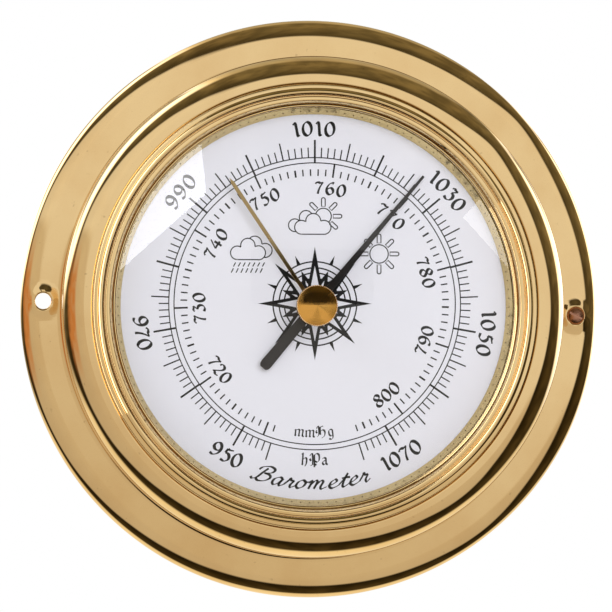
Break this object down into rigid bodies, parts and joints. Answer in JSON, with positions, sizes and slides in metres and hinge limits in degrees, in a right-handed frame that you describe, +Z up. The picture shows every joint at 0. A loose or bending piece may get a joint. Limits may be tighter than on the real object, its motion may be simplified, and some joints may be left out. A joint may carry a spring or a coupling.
{
  "type": "aneroid barometer",
  "caption": "Round wall barometer in a turned brass case, with a domed glass, printed dial, pressure hand, set hand on a centre knob, and its complete aneroid movement.",
  "frame": {"origin": "centre of the flat back face, in the plane of the wall, on the dial's axis", "axes": "+Y into the wall, so the dial faces -Y; +Z up; +X to the right as the dial is read"},
  "size_m": [0.145, 0.0358, 0.145],
  "materials": {
    "polished_brass": "mirror polished and lacquered",
    "machined_brass": "turned, satin",
    "aged_brass": "dull",
    "steel": "bright, fine brushed",
    "capsule_metal": "rolled, slightly tinted",
    "black_paint": "satin black enamel",
    "dial_white": "matte white print ground",
    "rubber": "matte",
    "copper_screw": "coppered, worn",
    "clear_glass": "clear, polished"
  },
  "bodies": {
    "case": {"case_shell": "polished_brass", "bezel_ring": "polished_brass", "glass": "clear_glass", "glass_gasket": "rubber", "rehaut_ring": "machined_brass", "mounting_screw": "copper_screw", "rear_cover": "black_paint", "case_lug_1": "machined_brass", "case_lug_2": "machined_brass", "case_lug_3": "machined_brass", "cover_screw_1": "steel", "cover_screw_2": "steel", "cover_screw_3": "steel", "dial_card": "dial_white", "dial_plate": "steel", "dial_pillar_1": "machined_brass", "dial_pillar_2": "machined_brass", "dial_pillar_3": "machined_brass", "dial_screw_1": "steel", "dial_screw_2": "steel", "dial_screw_3": "steel", "movement_base": "steel", "bridge": "machined_brass", "bridge_pillar_1": "machined_brass", "bridge_pillar_2": "machined_brass", "bridge_screw_1": "steel", "bridge_screw_2": "steel", "capsule_lower": "capsule_metal", "capsule_upper": "capsule_metal", "bearing_bracket_left": "machined_brass", "bearing_bracket_right": "machined_brass", "hairspring": "steel", "hairspring_stud": "machined_brass", "glass_bush": "machined_brass", "bush_nut": "machined_brass", "friction_washer": "steel"},
    "pointer": {"pointer_arbor": "steel", "pinion": "steel", "hairspring_collet": "machined_brass", "hand_bush": "machined_brass", "indicating_hand": "black_paint"},
    "sector": {"sector_gear": "machined_brass", "sector_arbor": "steel"},
    "rocker": {"rocking_shaft": "steel", "lift_arm": "machined_brass", "drive_arm": "machined_brass"},
    "capsule_top": {"capsule_post": "machined_brass"},
    "set_hand_unit": {"set_knob": "machined_brass", "set_spindle": "steel", "set_hand_collet": "machined_brass", "set_hand": "aged_brass"},
    "adjuster": {"adjusting_screw": "machined_brass"}
  },
  "joints": [
    {"name": "pointer_turn", "type": "hinge", "parent": "case", "child": "pointer", "pos_m": [0, -0.02, 0], "axis": [0, 1, 0], "range_deg": [-202.5, 122.5], "stiffness_Nm_per_rad": 0.0008},
    {"name": "sector_swing", "type": "hinge", "parent": "case", "child": "sector", "pos_m": [0.018, -0.0137, -0.024], "axis": [0, 1, 0], "range_deg": [-7.7, 12.7]},
    {"name": "rocker_turn", "type": "hinge", "parent": "case", "child": "rocker", "pos_m": [0, -0.0094, -0.024], "axis": [1, 0, 0], "range_deg": [-13.1, 7.95]},
    {"name": "capsule_travel", "type": "slide", "parent": "case", "child": "capsule_top", "axis": [0, 1, 0], "range_m": [-0.0007, 0.00042]},
    {"name": "set_hand_turn", "type": "hinge", "parent": "case", "child": "set_hand_unit", "pos_m": [0, -0.0328, 0], "axis": [0, 1, 0], "continuous": true},
    {"name": "adjust_turn", "type": "hinge", "parent": "case", "child": "adjuster", "pos_m": [-0.008, -0.0015, -0.027], "axis": [0, 1, 0], "range_deg": [-360, 360]}
  ],
  "couplings": [
    {"joint": "sector_swing", "follows": "pointer_turn", "ratio": -0.0625},
    {"joint": "rocker_turn", "follows": "pointer_turn", "ratio": 0.064286},
    {"joint": "capsule_travel", "follows": "pointer_turn", "m_per_rad": 0.00019286}
  ]
}
